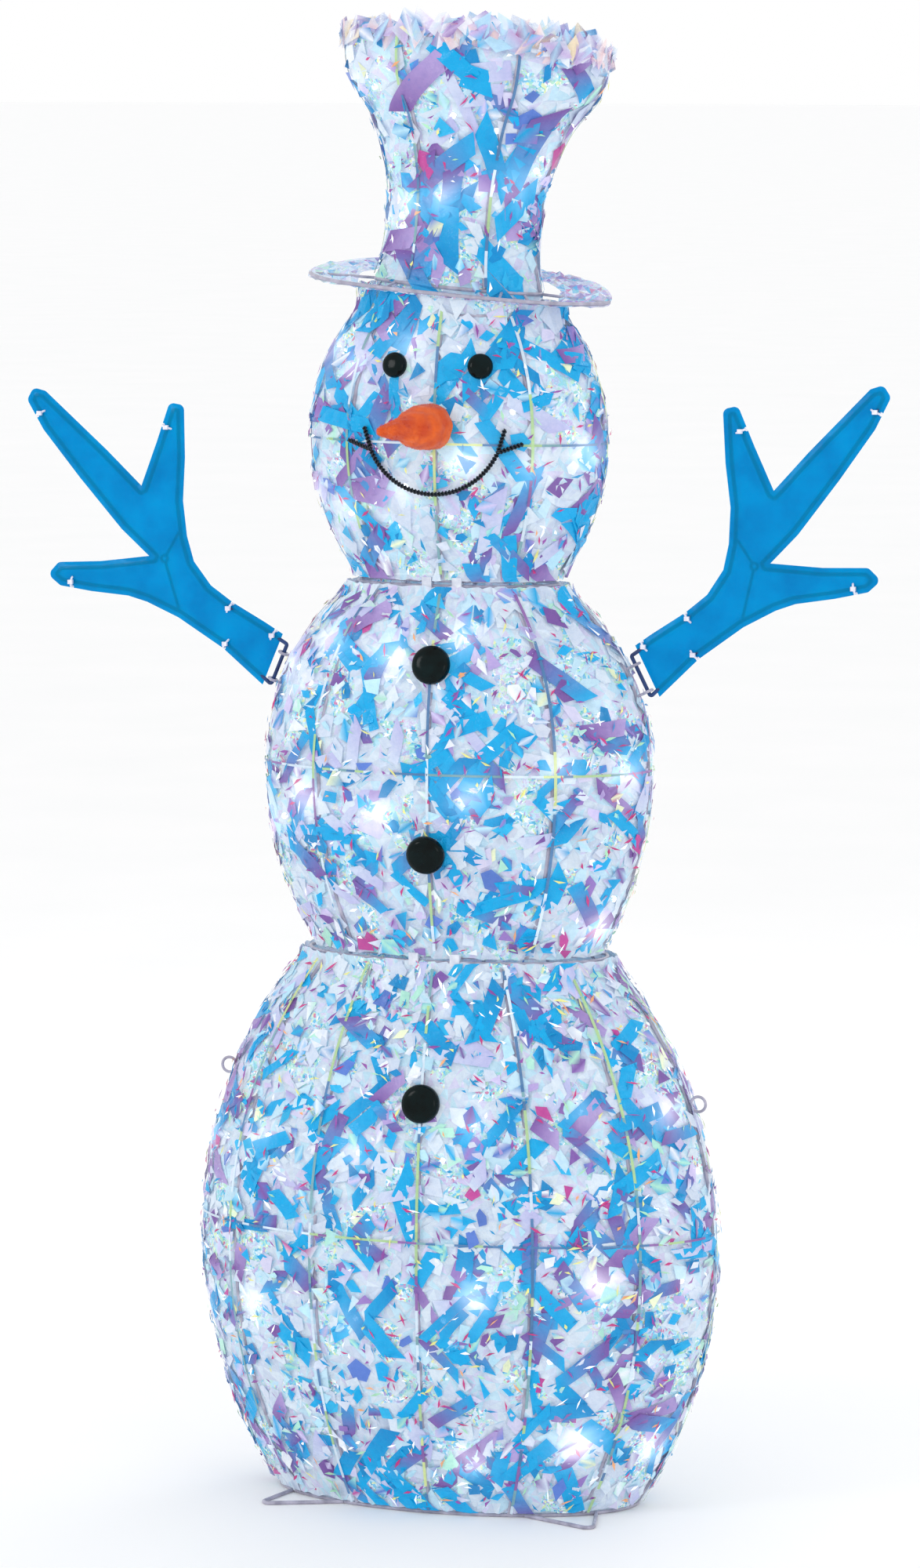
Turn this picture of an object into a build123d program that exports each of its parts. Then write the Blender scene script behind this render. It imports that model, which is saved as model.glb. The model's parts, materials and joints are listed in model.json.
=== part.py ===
"""Free-standing lit yard snowman on a welded wire frame.

Three flattened tiers and a top hat, each a cage of round steel wire covered with
film, with a string of lights clipped inside. X runs across the figure, the face
looks along -Y, Z is up and the origin is on the ground in the middle of the base
ring. "left" is the -X side, "right" the +X side.
"""
from build123d import *
from math import atan2, cos, degrees, radians, sin, sqrt
import os

os.makedirs("parts", exist_ok=True)

# Overall dimensions, in millimetres
depth_ratio = 0.50        # depth of every oval ring over its width
film_depth_ratio = 0.51   # the same for the film, which lies outside the wires
wire_d = 4.0              # rings, ribs, hoops, arms and feet
thin_wire_d = 3.0         # eyes, spokes and posts
film_gap = 3.2            # wire centre line to the inside of the film, at the sides
film_t = 0.8              # film thickness at the sides
cord_d, bulb_d = 2.2, 6.4 # light string and its lamps
weld = 0.1                # bite of one wire into the next at a weld
seam = 0.6                # gap between neighbouring film gores

# Side outline of each tier: (height, half-width) at the bottom ring, widest hoop, top ring
lower_tier = ((2.0, 193.0), (269.0, 274.0), (572.0, 159.0))
middle_tier = ((578.0, 150.0), (765.0, 203.0), (955.0, 106.0))
head_tier = ((961.0, 104.0), (1105.0, 154.0), (1230.0, 107.0))
hoop_z = {"lower": 292.0, "middle": 768.0, "head": 1102.0}

# Rear hinges: height, distance behind the axis, half-length of the rod, eye spacing
waist_hinge = dict(z=575.0, y=89.0, half=60.0, eye=30.0)
neck_hinge = dict(z=958.0, y=62.5, half=40.0, eye=20.0)
hinge_eye_r = 4.6         # centre line of the hinge eyes

# Arms: each swings on its own inner end wire, held in two eyes on the side rib
shoulder_x, shoulder_z = 196.0, 862.0
shoulder_lean = 24.7      # the end wire leans towards the body at the top
arm_cant = -2.0           # both arms are canted a little, right up and left down
arm_film_edge = 6.5       # film beyond the wire
lug_half = 15.0           # eyes above and below the shoulder point

# Hat: seat height above the ground and sideways tilt; the brim is bent along its length
hat_z, hat_tilt = 1256.0, 4.8
crown_profile = ((2.0, 88.0), (16.0, 83.0), (36.0, 79.0), (59.0, 78.0), (83.0, 78.5), (107.0, 80.5),
                 (131.0, 88.0), (155.0, 96.5), (179.0, 110.0), (203.0, 128.0), (227.0, 135.5),
                 (242.0, 137.0))
crown_arch = 13.0         # rise of the top ring between its two ends
crown_film_foot, crown_film_top = 4.2, 266.8
crown_film_radius = 603.0 # of the arched top edge of the film
brim_half_length = 160.0
brim_front = dict(side=-1, pitch=4.0, half_depth=58.0, hole=50.0, film_z=-3.4)
brim_back = dict(side=1, pitch=14.0, half_depth=80.0, hole=57.5, film_z=2.4)
brim_hole_half_length = 107.0

button_d, eye_d, nose_d, nose_length, mouth_d = 40.0, 26.0, 47.0, 112.0, 6.0
nose_z, nose_yaw, nose_drop = 1120.0, 11.0, -0.5
button_z = {"lower": 433.0, "middle": 688.0, "upper": 878.0}
film_clearance = 0.4      # of the eyes, buttons and nose in front of the film
turned_button_lift = 9.2  # the middle button hangs turned on its post
turned_button = (8.0, -23.0, 0.0)
eye_x, eye_z = 45.0, 1180.0
mouth_line = ((-69, 1095), (-1, 1051), (66, 1094))
mouth_forks = (((-77, 1118), (-96, 1104)), ((73, 1118), (91, 1103)))
tether_z = {-1: 440.0, 1: 425.0}


def half_width(tier, z, share=1.0):
    """Half-width of a tier's frame: two arcs, both upright at the widest height.

    With a share below one it is the reach of a rib that stands nearer the axis.
    """
    end = tier[0] if z < tier[1][0] else tier[2]
    rise, draw = end[0] - tier[1][0], (tier[1][1] - end[1]) * share
    radius = (rise * rise + draw * draw) / (2 * draw)
    return tier[1][1] * share - radius + sqrt(radius ** 2 - (z - tier[1][0]) ** 2)


def frame_point(tier, angle, z, inset=0.0):
    """Point on the frame; the angle is 0 at the front and grows towards the right."""
    x, y = sin(radians(angle)), depth_ratio * cos(radians(angle))
    share = sqrt(x * x + y * y)
    reach = half_width(tier, z, share) - inset
    return reach * x / share, -reach * y / share, z


def film_y(tier, x, z):
    """Y of the outer film surface on the front of a tier."""
    a = half_width(tier, z) + film_gap + film_t
    return -film_depth_ratio * sqrt(a * a - x * x)


def film_plane(tier, x, z, clearance):
    """Plane that touches the front film from outside, its normal pointing away."""
    here = Vector(x, film_y(tier, x, z), z)
    across = Vector(x + 1, film_y(tier, x + 1, z), z) - here
    upward = Vector(x, film_y(tier, x, z + 1), z + 1) - here
    normal = across.cross(upward).normalized()
    return Plane(origin=here + normal * clearance, x_dir=across, z_dir=normal)


def swept_wire(points, diameter):
    """Round wire along a smooth curve through the points."""
    with BuildLine() as path:
        Spline(*points)
    with BuildSketch(path.line ^ 0) as section:
        Circle(diameter / 2)
    sweep(section.sketch, path=path.line)


def bent_wire(points, diameter, bend):
    """Round wire with straight legs and rounded bends."""
    with BuildLine() as path:
        FilletPolyline(*points, radius=bend)
    with BuildSketch(path.line ^ 0) as section:
        Circle(diameter / 2)
    sweep(section.sketch, path=path.line)


def rod(start, end, diameter, trim_start=0.0, trim_end=0.0):
    """Straight round rod between two points, cut short at either end."""
    first, last = Vector(*start), Vector(*end)
    run = (last - first).normalized()
    first, last = first + run * trim_start, last - run * trim_end
    with BuildSketch(Plane(origin=first, z_dir=run)) as section:
        Circle(diameter / 2)
    extrude(section.sketch, amount=(last - first).length)


def oval_ring(a, b, z):
    """Closed oval wire ring lying flat."""
    for start in (0, 180):
        with BuildLine(Plane.XY.offset(z)) as path:
            EllipticalCenterArc((0, 0), a, b, start_angle=start, arc_size=180)
        with BuildSketch(path.line ^ 0) as section:
            Circle(wire_d / 2)
        sweep(section.sketch, path=path.line)


def tier_ring(tier, end):
    z, a = tier[end]
    oval_ring(a, a * depth_ratio, z)


def rib_cage(tier, angles):
    """Upright ribs between a tier's two rings, in one smooth bend each."""
    low, high = tier[0][0] + wire_d / 2 - weld, tier[2][0] - wire_d / 2 + weld
    middle = tier[1][0]
    for angle in angles:
        with BuildLine() as path:
            for ends in ((low, middle), (middle, high)):
                stations = (ends[0], sum(ends) / 2, ends[1])
                ThreePointArc(*[frame_point(tier, angle, z) for z in stations])
        with BuildSketch(path.line ^ 0) as section:
            Circle(wire_d / 2)
        sweep(section.sketch, path=path.line)


def hoop(tier, z):
    """Oval hoop welded inside the ribs."""
    a = half_width(tier, z)
    inset = wire_d - weld
    oval_ring(a - inset, a * depth_ratio - inset, z)


def film_shell(tier, low, high, front):
    """Front or back half of a tier's film, as gores that meet at thin seams."""
    outlines = []
    with BuildSketch(Plane.XZ) as section:
        with BuildLine():
            for gap in (film_gap, film_gap + film_t):
                widest = (tier[1][1] + gap, tier[1][0])
                top = TangentArc(widest, (half_width(tier, high) + gap, high), tangent=(0, 1))
                foot = TangentArc(widest, (half_width(tier, low) + gap, low), tangent=(0, -1))
                outlines.append((top, foot))
            for inner, outer in zip(*outlines):
                Line(inner @ 1, outer @ 1)
        make_face()
    revolve(section.sketch, axis=Axis.Z)
    scale(by=(1, film_depth_ratio, 1))
    split(bisect_by=Plane.XZ, keep=Keep.TOP if front else Keep.BOTTOM)
    diagonal = degrees(atan2(film_depth_ratio, 1))
    for turn in (0, 90, diagonal, -diagonal):
        with Locations(Location((0, 0, tier[1][0]), (0, 0, turn))):
            Box(700, seam, 700, mode=Mode.SUBTRACT)
    with Locations((0, 0, tier[1][0])):
        Box(700, 400, seam, mode=Mode.SUBTRACT)


def light_path(tier, low, high, turns, start):
    """Lamp places along the string, which winds up just inside the frame."""
    steps = int(turns * 12)
    rows = []
    for step in range(steps + 1):
        z = low + (high - low) * step / steps + 14 * sin(step * 2.1 + start)
        rows.append(frame_point(tier, start + 30 * step, z, 11.0))
    return rows


def light_string(places):
    """Straight runs of cord from lamp to lamp."""
    for place, following in zip(places, places[1:]):
        rod(place, following, cord_d, bulb_d / 2 - weld, bulb_d / 2 - weld)


def bulbs(places):
    """Small round lamps, each in line with the cord."""
    with Locations(*places):
        Sphere(bulb_d / 2)


def dome(seat, diameter, height, rim=1.5):
    """Round cap with its flat back on the seat plane."""
    upright = Plane(origin=seat.origin, x_dir=seat.x_dir, z_dir=-seat.y_dir)
    radius = diameter / 2
    with BuildSketch(upright) as section:
        with BuildLine():
            Line((0, 0), (radius, 0))
            Line((radius, 0), (radius, rim))
            Spline((radius, rim), (0, height), tangents=((0, 1), (-1, 0)))
            Line((0, height), (0, 0))
        make_face()
    revolve(section.sketch, axis=Axis(seat.origin, seat.z_dir))


def stem(seat, diameter, length):
    """Round post behind a seat plane."""
    with BuildSketch(seat) as section:
        Circle(diameter / 2)
    extrude(section.sketch, amount=-length)


def hole_at(seat, diameter):
    with Locations(seat):
        Cylinder(diameter / 2, 24, mode=Mode.SUBTRACT)


def rib_depth(tier, seat):
    """Distance from a seat plane on the centre line back to the front rib."""
    z = seat.origin.Z
    return (abs(seat.origin.Y) - depth_ratio * half_width(tier, z)) * abs(seat.z_dir.Y) - wire_d / 2


def hinge_rod(pin, ring):
    """U-shaped rod welded to the back of a ring, its straight run being the hinge pin."""
    z, a = ring
    y = a * depth_ratio * sqrt(1 - (pin["half"] / a) ** 2)
    corner = Vector(pin["half"], pin["y"], pin["z"])
    reach = (Vector(pin["half"], y, z) - corner).normalized()
    end = Vector(pin["half"], y, z) - reach * (wire_d / 2 - weld)
    bent_wire([(-end.X, end.Y, end.Z), (-corner.X, corner.Y, corner.Z), tuple(corner), tuple(end)],
              wire_d, 5.0)


def hinge_eyes(pin, ring):
    """Two wire eyes round the hinge pin, each on a short stem from the ring in front."""
    z, a = ring
    for side in (-1, 1):
        x = side * pin["eye"]
        y = a * depth_ratio * sqrt(1 - (x / a) ** 2)
        with Locations(Plane(origin=(x, pin["y"], pin["z"]), z_dir=(1, 0, 0))):
            Torus(hinge_eye_r, thin_wire_d / 2)
        rod((x, pin["y"], pin["z"]), (x, y, z), thin_wire_d, hinge_eye_r, wire_d / 2 - weld)


def saddle_clips(low_ring, high_ring, x):
    """Two plastic blocks held on the lower ring, with an open saddle for the upper ring."""
    for side in (-1, 1):
        spots = []
        for z, a in (low_ring, high_ring):
            spots.append((-a * depth_ratio * sqrt(1 - (x / a) ** 2), z))
        (y_low, z_low), (y_high, z_high) = spots
        front, back = min(y_low, y_high) - 5.2, max(y_low, y_high) + 5.2
        with Locations((side * x, (front + back) / 2, (z_low + z_high) / 2)):
            Box(10, back - front, 12.6)
        with BuildSketch(Plane.YZ.offset(side * x - 6)) as section:
            with Locations((y_low, z_low)):
                Circle(2.45)
            with Locations((y_high, z_high + 5.3)):
                Rectangle(5.6, 16)
        extrude(section.sketch, amount=12, mode=Mode.SUBTRACT)


def save(piece, name):
    piece.part.label = name
    export_step(piece.part, f"parts/{name}.step")


# ---------------------------------------------------------------- lower tier
base_z, base_a = lower_tier[0]
with BuildPart() as base_ring:
    tier_ring(lower_tier, 0)
save(base_ring, "base_ring")

with BuildPart() as lower_top_ring:
    tier_ring(lower_tier, 2)
save(lower_top_ring, "lower_top_ring")

with BuildPart() as lower_ribs:
    rib_cage(lower_tier, (0, 25, 52, 90, 128, 155, 180, -155, -128, -90, -52, -25))
save(lower_ribs, "lower_ribs")

with BuildPart() as lower_hoop:
    hoop(lower_tier, hoop_z["lower"])
save(lower_hoop, "lower_hoop")

# Two V-shaped feet lie on the ground in front; a ground stake goes over each point
for side, name in ((-1, "left_foot"), (1, "right_foot")):
    with BuildPart() as foot:
        ends = []
        for x in (165.0, 97.0):
            ends.append(Vector(side * x, -base_a * depth_ratio * sqrt(1 - (x / base_a) ** 2), base_z))
        point = Vector(side * 181.0, -118.0, base_z)
        legs = [end + (point - end).normalized() * 2.05 for end in ends]
        bent_wire([tuple(legs[0]), tuple(point), tuple(legs[1])], wire_d, 7.0)
    save(foot, name)

# Tether eyes on the side ribs, just outside the film
for side, name in ((-1, "left_tether_eye"), (1, "right_tether_eye")):
    with BuildPart() as tether_eye:
        x = half_width(lower_tier, tether_z[side]) + wire_d / 2 + 9.3 - weld
        with Locations(Plane(origin=(side * x, 0, tether_z[side]), z_dir=(0, 1, 0))):
            Torus(7.8, thin_wire_d / 2)
    save(tether_eye, name)

lower_button_seat = film_plane(lower_tier, 0, button_z["lower"], film_clearance)
for front, name in ((True, "lower_film_front"), (False, "lower_film_back")):
    with BuildPart() as lower_film:
        film_shell(lower_tier, 5.0, 566.0, front)
        with Locations(*[(side * 256, 0, z) for side, z in tether_z.items()]):
            Box(26, 7, 26, mode=Mode.SUBTRACT)
        if front:
            hole_at(lower_button_seat, 7.2)
    save(lower_film, name)

with BuildPart() as lower_button:
    dome(lower_button_seat, button_d, 11)
    stem(lower_button_seat, 6, rib_depth(lower_tier, lower_button_seat) + weld)
save(lower_button, "lower_button")

lower_lights = light_path(lower_tier, 62.0, 505.0, 2.6, 13)
with BuildPart() as lower_light_string:
    light_string(lower_lights)
save(lower_light_string, "lower_light_string")

with BuildPart() as lower_bulbs:
    bulbs(lower_lights)
save(lower_bulbs, "lower_bulbs")

# The waist: a hinge rod behind and two saddle clips in front
with BuildPart() as waist_hinge_rod:
    hinge_rod(waist_hinge, lower_tier[2])
save(waist_hinge_rod, "waist_hinge_rod")

with BuildPart() as waist_clips:
    saddle_clips(lower_tier[2], middle_tier[0], 22.0)
save(waist_clips, "waist_clips")

# ---------------------------------------------------------------- middle tier
with BuildPart() as middle_bottom_ring:
    tier_ring(middle_tier, 0)
save(middle_bottom_ring, "middle_bottom_ring")

with BuildPart() as middle_top_ring:
    tier_ring(middle_tier, 2)
save(middle_top_ring, "middle_top_ring")

with BuildPart() as middle_ribs:
    rib_cage(middle_tier, (0, 38, 90, 142, 180, -142, -90, -38))
save(middle_ribs, "middle_ribs")

with BuildPart() as middle_hoop:
    hoop(middle_tier, hoop_z["middle"])
save(middle_hoop, "middle_hoop")

with BuildPart() as waist_hinge_eyes:
    hinge_eyes(waist_hinge, middle_tier[0])
save(waist_hinge_eyes, "waist_hinge_eyes")

middle_button_seat = film_plane(middle_tier, 0, button_z["middle"], turned_button_lift)
upper_button_seat = film_plane(middle_tier, 0, button_z["upper"], film_clearance)
with BuildPart() as upper_button:
    dome(upper_button_seat, button_d, 11)
    stem(upper_button_seat, 6, rib_depth(middle_tier, upper_button_seat) + weld)
save(upper_button, "upper_button")

# The post reaches 1.6 mm into the turned button
with BuildPart() as middle_button:
    dome(middle_button_seat.rotated(turned_button), button_d, 11)
    stem(middle_button_seat.offset(1.6), 6, rib_depth(middle_tier, middle_button_seat) + 1.6 + weld)
save(middle_button, "middle_button")

for front, name in ((True, "middle_film_front"), (False, "middle_film_back")):
    with BuildPart() as middle_film:
        film_shell(middle_tier, 584.0, 948.0, front)
        for side in (-1, 1):
            with Locations(Location((side * shoulder_x, 0, shoulder_z), (0, -side * shoulder_lean, 0))):
                Box(40, 10, 50, mode=Mode.SUBTRACT)
        if front:
            hole_at(middle_button_seat, 7.2)
            hole_at(upper_button_seat, 7.2)
    save(middle_film, name)

middle_lights = light_path(middle_tier, 622.0, 905.0, 1.9, 73)
with BuildPart() as middle_light_string:
    light_string(middle_lights)
save(middle_light_string, "middle_light_string")

with BuildPart() as middle_bulbs:
    bulbs(middle_lights)
save(middle_bulbs, "middle_bulbs")

with BuildPart() as neck_hinge_rod:
    hinge_rod(neck_hinge, middle_tier[2])
save(neck_hinge_rod, "neck_hinge_rod")

with BuildPart() as neck_clips:
    saddle_clips(middle_tier[2], head_tier[0], 16.0)
save(neck_clips, "neck_clips")

# ---------------------------------------------------------------- arms
# Wire outline of a three-fingered hand and forearm, measured from the shoulder point:
# end wire, underside, low finger, long finger, short finger, top side
arm_outline = ((8.7, -19), (56, 24), (105, 57), (140, 74), (162, 81), (203, 86), (236, 92), (243, 98),
               (237, 104), (192, 104.5), (132, 110), (129, 116), (163, 149), (207, 203), (245, 253), (260, 281),
               (257, 286), (250, 284), (185, 222), (145, 181), (139, 184), (119, 232), (105, 268),
               (100, 267), (101, 218), (105, 173), (102, 135), (95, 107), (76, 80), (51, 61), (16, 40),
               (-10.5, 22.8))
arm_curl = (121.5, 113)   # small loop the two braces end in, beside the notch of the palm
arm_braces = ((102.6, 143), (107, 58))
# Ties: place on the wire and the wire's direction there
arm_ties = ((225, 90, 10), (252, 267, 63), (112, 250, 111), (56, 24, 38), (51, 61, 34), (4, 32.5, 33))


def arm_plane(side, offset=0.0):
    """Drawing plane of an arm, x along the figure and y up, canted with the arm."""
    cant = radians(arm_cant)
    return Plane(origin=(side * shoulder_x, -offset, shoulder_z),
                 x_dir=(cos(cant), 0, -sin(cant)), z_dir=(0, -1, 0))


def end_wire_direction(side):
    lean = radians(shoulder_lean)
    plane = arm_plane(side)
    return plane.x_dir * (-side * sin(lean)) + plane.y_dir * cos(lean)


def tie_spots(side, reach):
    """Points beside the wire at each tie, at the given distance on both sides."""
    spots = []
    for x, y, heading in arm_ties:
        turn = radians(heading)
        for step in (-reach, reach):
            spots.append((side * (x - step * sin(turn)), y + step * cos(turn)))
    return spots


for side, word in ((-1, "left"), (1, "right")):
    flat = arm_plane(side)
    loop = [(side * x, y) for x, y in arm_outline]

    with BuildPart() as arm_frame:
        with BuildLine(flat) as outline:
            FilletPolyline(*loop, radius=2.2, close=True)
        with BuildSketch(outline.line ^ 0):
            Circle(wire_d / 2)
        sweep(path=outline.line)
    save(arm_frame, f"{word}_arm_frame")

    with BuildPart() as arm_brace:
        curl = flat.from_local_coords((side * arm_curl[0], arm_curl[1], 0))
        with Locations(Plane(origin=curl, z_dir=(0, 1, 0))):
            Torus(3.5, thin_wire_d / 2)
        for x, y in arm_braces:
            rod(curl, flat.from_local_coords((side * x, y, 0)), thin_wire_d, 3.5, 3.1)
    save(arm_brace, f"{word}_arm_braces")

    # Two layers of film, one on each face of the wire, open where the ties and eyes pass
    with BuildPart() as arm_film:
        for layer in (2.4, -3.0):
            with BuildSketch(arm_plane(side, layer)):
                with BuildLine():
                    Polyline(*loop, close=True)
                make_face()
                offset(amount=arm_film_edge, kind=Kind.ARC)
                with Locations(*tie_spots(side, 5.6)):
                    Circle(2.2, mode=Mode.SUBTRACT)
            extrude(amount=0.6, dir=flat.z_dir)
        with Locations(Plane(origin=flat.origin, x_dir=(0, 1, 0), z_dir=end_wire_direction(side))):
            Box(20, 17, 80, mode=Mode.SUBTRACT)
    save(arm_film, f"{word}_arm_film")

    with BuildPart() as arm_tie:
        for x, y, heading in arm_ties:
            turn = radians(heading)
            here = flat.from_local_coords((side * x, y, 0))
            run = flat.x_dir * (side * cos(turn)) + flat.y_dir * sin(turn)
            with Locations(Plane(origin=here, z_dir=run)):
                Torus(5.6, 1.1)
            with Locations(here + flat.z_dir * 6.6):
                Box(5, 4, 4.4)
    save(arm_tie, f"{word}_arm_ties")

    # Eyes on the side rib that the arm's end wire turns in
    with BuildPart() as arm_lug:
        axis_dir = end_wire_direction(side)
        inward = axis_dir.cross(Vector(0, side, 0))
        for step in (-lug_half, lug_half):
            centre = flat.origin + axis_dir * step
            with Locations(Plane(origin=centre, z_dir=axis_dir)):
                Torus(hinge_eye_r, thin_wire_d / 2)
            reach = hinge_eye_r
            while abs((centre + inward * reach).X) > half_width(middle_tier, (centre + inward * reach).Z):
                reach += 0.01
            rod(centre, centre + inward * reach, thin_wire_d, hinge_eye_r, wire_d / 2 - weld)
    save(arm_lug, f"{word}_arm_lugs")

# ---------------------------------------------------------------- head
with BuildPart() as head_bottom_ring:
    tier_ring(head_tier, 0)
save(head_bottom_ring, "head_bottom_ring")

with BuildPart() as head_top_ring:
    tier_ring(head_tier, 2)
save(head_top_ring, "head_top_ring")

with BuildPart() as head_ribs:
    rib_cage(head_tier, (0, 38, 90, 142, 180, -142, -90, -38))
save(head_ribs, "head_ribs")

with BuildPart() as head_hoop:
    hoop(head_tier, hoop_z["head"])
save(head_hoop, "head_hoop")

with BuildPart() as neck_hinge_eyes:
    hinge_eyes(neck_hinge, head_tier[0])
save(neck_hinge_eyes, "neck_hinge_eyes")

mouth_seat = film_plane(head_tier, -1.5, 1050, 4.6)
nose_seat = film_plane(head_tier, 0, nose_z, film_clearance)
eye_seats = [film_plane(head_tier, side * eye_x, eye_z, film_clearance) for side in (-1, 1)]
for front, name in ((True, "head_film_front"), (False, "head_film_back")):
    with BuildPart() as head_film:
        film_shell(head_tier, 968.0, 1235.0, front)
        if front:
            hole_at(nose_seat, 8.0)
            hole_at(mouth_seat, 5.0)
            for seat in eye_seats:
                hole_at(seat, 7.0)
    save(head_film, name)

# Eyes: a domed cap outside the film and a washer inside it
for seat, name in zip(eye_seats, ("left_eye", "right_eye")):
    with BuildPart() as eye:
        dome(seat, eye_d, 9)
        stem(seat, 6, 2.4)
        with BuildSketch(seat.offset(-1.6)):
            Circle(7)
        extrude(amount=-0.8)
    save(eye, name)

# Nose: a carrot turned to the left, on a peg that sits on the front rib
yaw, drop = radians(nose_yaw), radians(nose_drop)
nose_dir = Vector(-sin(yaw) * cos(drop), -cos(yaw) * cos(drop), -sin(drop))
with BuildPart() as nose:
    root = Vector(0, nose_seat.origin.Y - 5.0, nose_z)
    carrot = Plane(origin=root, x_dir=(0, 0, 1), z_dir=nose_dir)
    section = Plane(origin=root, x_dir=carrot.x_dir, z_dir=-carrot.y_dir)
    with BuildSketch(section):
        with BuildLine():
            Line((0, 0), (nose_d / 2 - 3, 0))
            Spline((nose_d / 2 - 3, 0), (nose_d / 2, 5), (nose_d / 4 + 1, nose_length * 0.55),
                   (3.5, nose_length - 3), (0, nose_length), tangents=((1, 0), (-1, 0)))
            Line((0, nose_length), (0, 0))
        make_face()
    revolve(axis=Axis(root, nose_dir))
    peg_end = (0, -depth_ratio * half_width(head_tier, nose_z) - wire_d / 2 + weld, nose_z)
    rod(peg_end, (0, root.Y - 8, nose_z), 6)
save(nose, "nose")

# Mouth: a cord that follows the film, forked at both ends, held by one stem
def face_point(x, z):
    seat = film_plane(head_tier, x, z, 4.6)
    return tuple(seat.origin)


with BuildPart() as mouth:
    with BuildLine() as smile:
        ThreePointArc(*[face_point(x, z) for x, z in mouth_line])
    with BuildSketch(smile.line ^ 0):
        Circle(mouth_d / 2)
    sweep(path=smile.line)
    for end, prongs in zip((mouth_line[0], mouth_line[2]), mouth_forks):
        fork = face_point(*end)
        with Locations(fork):
            Sphere(mouth_d / 2 + 0.6)
        for x, z in prongs:
            tip = face_point(x, z)
            rod(fork, tip, mouth_d)
            with Locations(tip):
                Sphere(mouth_d / 2 + 0.3)
    x, z = mouth_line[1]
    rib_face = (0, -depth_ratio * half_width(head_tier, z) - wire_d / 2 + weld, z)
    rod(rib_face, face_point(x, z), 2.4)
save(mouth, "mouth")

head_lights = light_path(head_tier, 992.0, 1200.0, 1.5, 163)
with BuildPart() as head_light_string:
    light_string(head_lights)
save(head_light_string, "head_light_string")

with BuildPart() as head_bulbs:
    bulbs(head_lights)
save(head_bulbs, "head_bulbs")

# ---------------------------------------------------------------- hat
hat_plane = Plane.XY.offset(hat_z).rotated((0, hat_tilt, 0))


def crown_half_width(z):
    """Half-width of the crown frame at a height above the brim."""
    for (low, a), (high, b) in zip(crown_profile, crown_profile[1:]):
        if z <= high:
            return a + (b - a) * (z - low) / (high - low)
    return crown_profile[-1][1]


def crown_point(angle, z, inset=0.0):
    """Point on the crown frame, tilted with the hat."""
    a = crown_half_width(z)
    turn = radians(angle)
    return tuple(hat_plane.from_local_coords(
        ((a - inset) * sin(turn), -(a * depth_ratio - inset) * cos(turn), z)))


def crown_rim_z(angle):
    """Height of the arched top ring, highest at the front and back."""
    return crown_profile[-1][0] + crown_arch * cos(radians(angle)) ** 2


with BuildPart() as crown_base_ring:
    a = crown_profile[0][1]
    for start in (0, 180):
        with BuildLine(hat_plane.offset(crown_profile[0][0])) as path:
            EllipticalCenterArc((0, 0), a, a * depth_ratio, start_angle=start, arc_size=180)
        with BuildSketch(path.line ^ 0):
            Circle(wire_d / 2)
        sweep(path=path.line)
save(crown_base_ring, "crown_base_ring")

with BuildPart() as crown_top_ring:
    for start in (0, 180):
        swept_wire([crown_point(start + turn, crown_rim_z(start + turn)) for turn in range(0, 181, 15)],
                   wire_d)
save(crown_top_ring, "crown_top_ring")

crown_rib_angles = (27, 90, 153, -153, -90, -27)
with BuildPart() as crown_ribs:
    for angle in crown_rib_angles:
        low = crown_profile[0][0] + wire_d / 2 - weld
        high = crown_rim_z(angle) - wire_d / 2 + weld
        heights = [low] + [z for z, _ in crown_profile[1:-1]] + [high]
        swept_wire([crown_point(angle, z) for z in heights], wire_d)
save(crown_ribs, "crown_ribs")

# The crown film is turned about its own axis first, then set on the head
with BuildPart() as crown_shell:
    with BuildSketch(Plane.XZ):
        with BuildLine():
            edges = []
            for gap in (film_gap, film_gap + film_t):
                rows = [(a + gap, z) for z, a in crown_profile[1:]]
                foot = (crown_half_width(crown_film_foot) + gap, crown_film_foot)
                rows = [foot] + rows + [(rows[-1][0], crown_film_top)]
                edges.append(Spline(*rows))
            for end in (0, 1):
                Line(edges[0] @ end, edges[1] @ end)
        make_face()
    revolve(axis=Axis.Z)
    scale(by=(1, film_depth_ratio, 1))
    diagonal = degrees(atan2(film_depth_ratio, 1))
    for turn in (0, 90, diagonal, -diagonal):
        with Locations(Location((0, 0, 150), (0, 0, turn))):
            Box(400, seam, 400, mode=Mode.SUBTRACT)
    with Locations((0, 0, 150)):
        Box(400, 200, seam, mode=Mode.SUBTRACT)
    with BuildSketch(Plane.XZ):
        with Locations((0, crown_film_top)):
            Rectangle(400, 120)
        with Locations((0, crown_film_top - crown_film_radius)):
            Circle(crown_film_radius, mode=Mode.SUBTRACT)
    extrude(amount=200, both=True, mode=Mode.SUBTRACT)

with BuildPart() as crown_film:
    with Locations(hat_plane):
        add(crown_shell.part)
save(crown_film, "crown_film")


def brim_plane(half):
    """Plane of the front or back half of the brim."""
    fold = Axis((0, 0, 0), hat_plane.x_dir)
    normal = hat_plane.z_dir.rotate(fold, half["pitch"])
    return Plane(origin=hat_plane.origin, x_dir=hat_plane.x_dir, z_dir=normal)


def brim_edge(half, ratio=1.0):
    """Edge of half the brim, from one pointed side to the other."""
    stations = ((-1, 0), (-0.74, 0.72), (-0.38, 0.95), (0, 1), (0.38, 0.95), (0.74, 0.72), (1, 0))
    depth = half["side"] * half["half_depth"] * ratio
    return [(x * brim_half_length * ratio, y * depth) for x, y in stations]


with BuildPart() as brim_wire:
    for half in (brim_front, brim_back):
        plane = brim_plane(half)
        swept_wire([tuple(plane.from_local_coords((x, y, 0))) for x, y in brim_edge(half)], wire_d)
save(brim_wire, "brim_wire")

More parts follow.
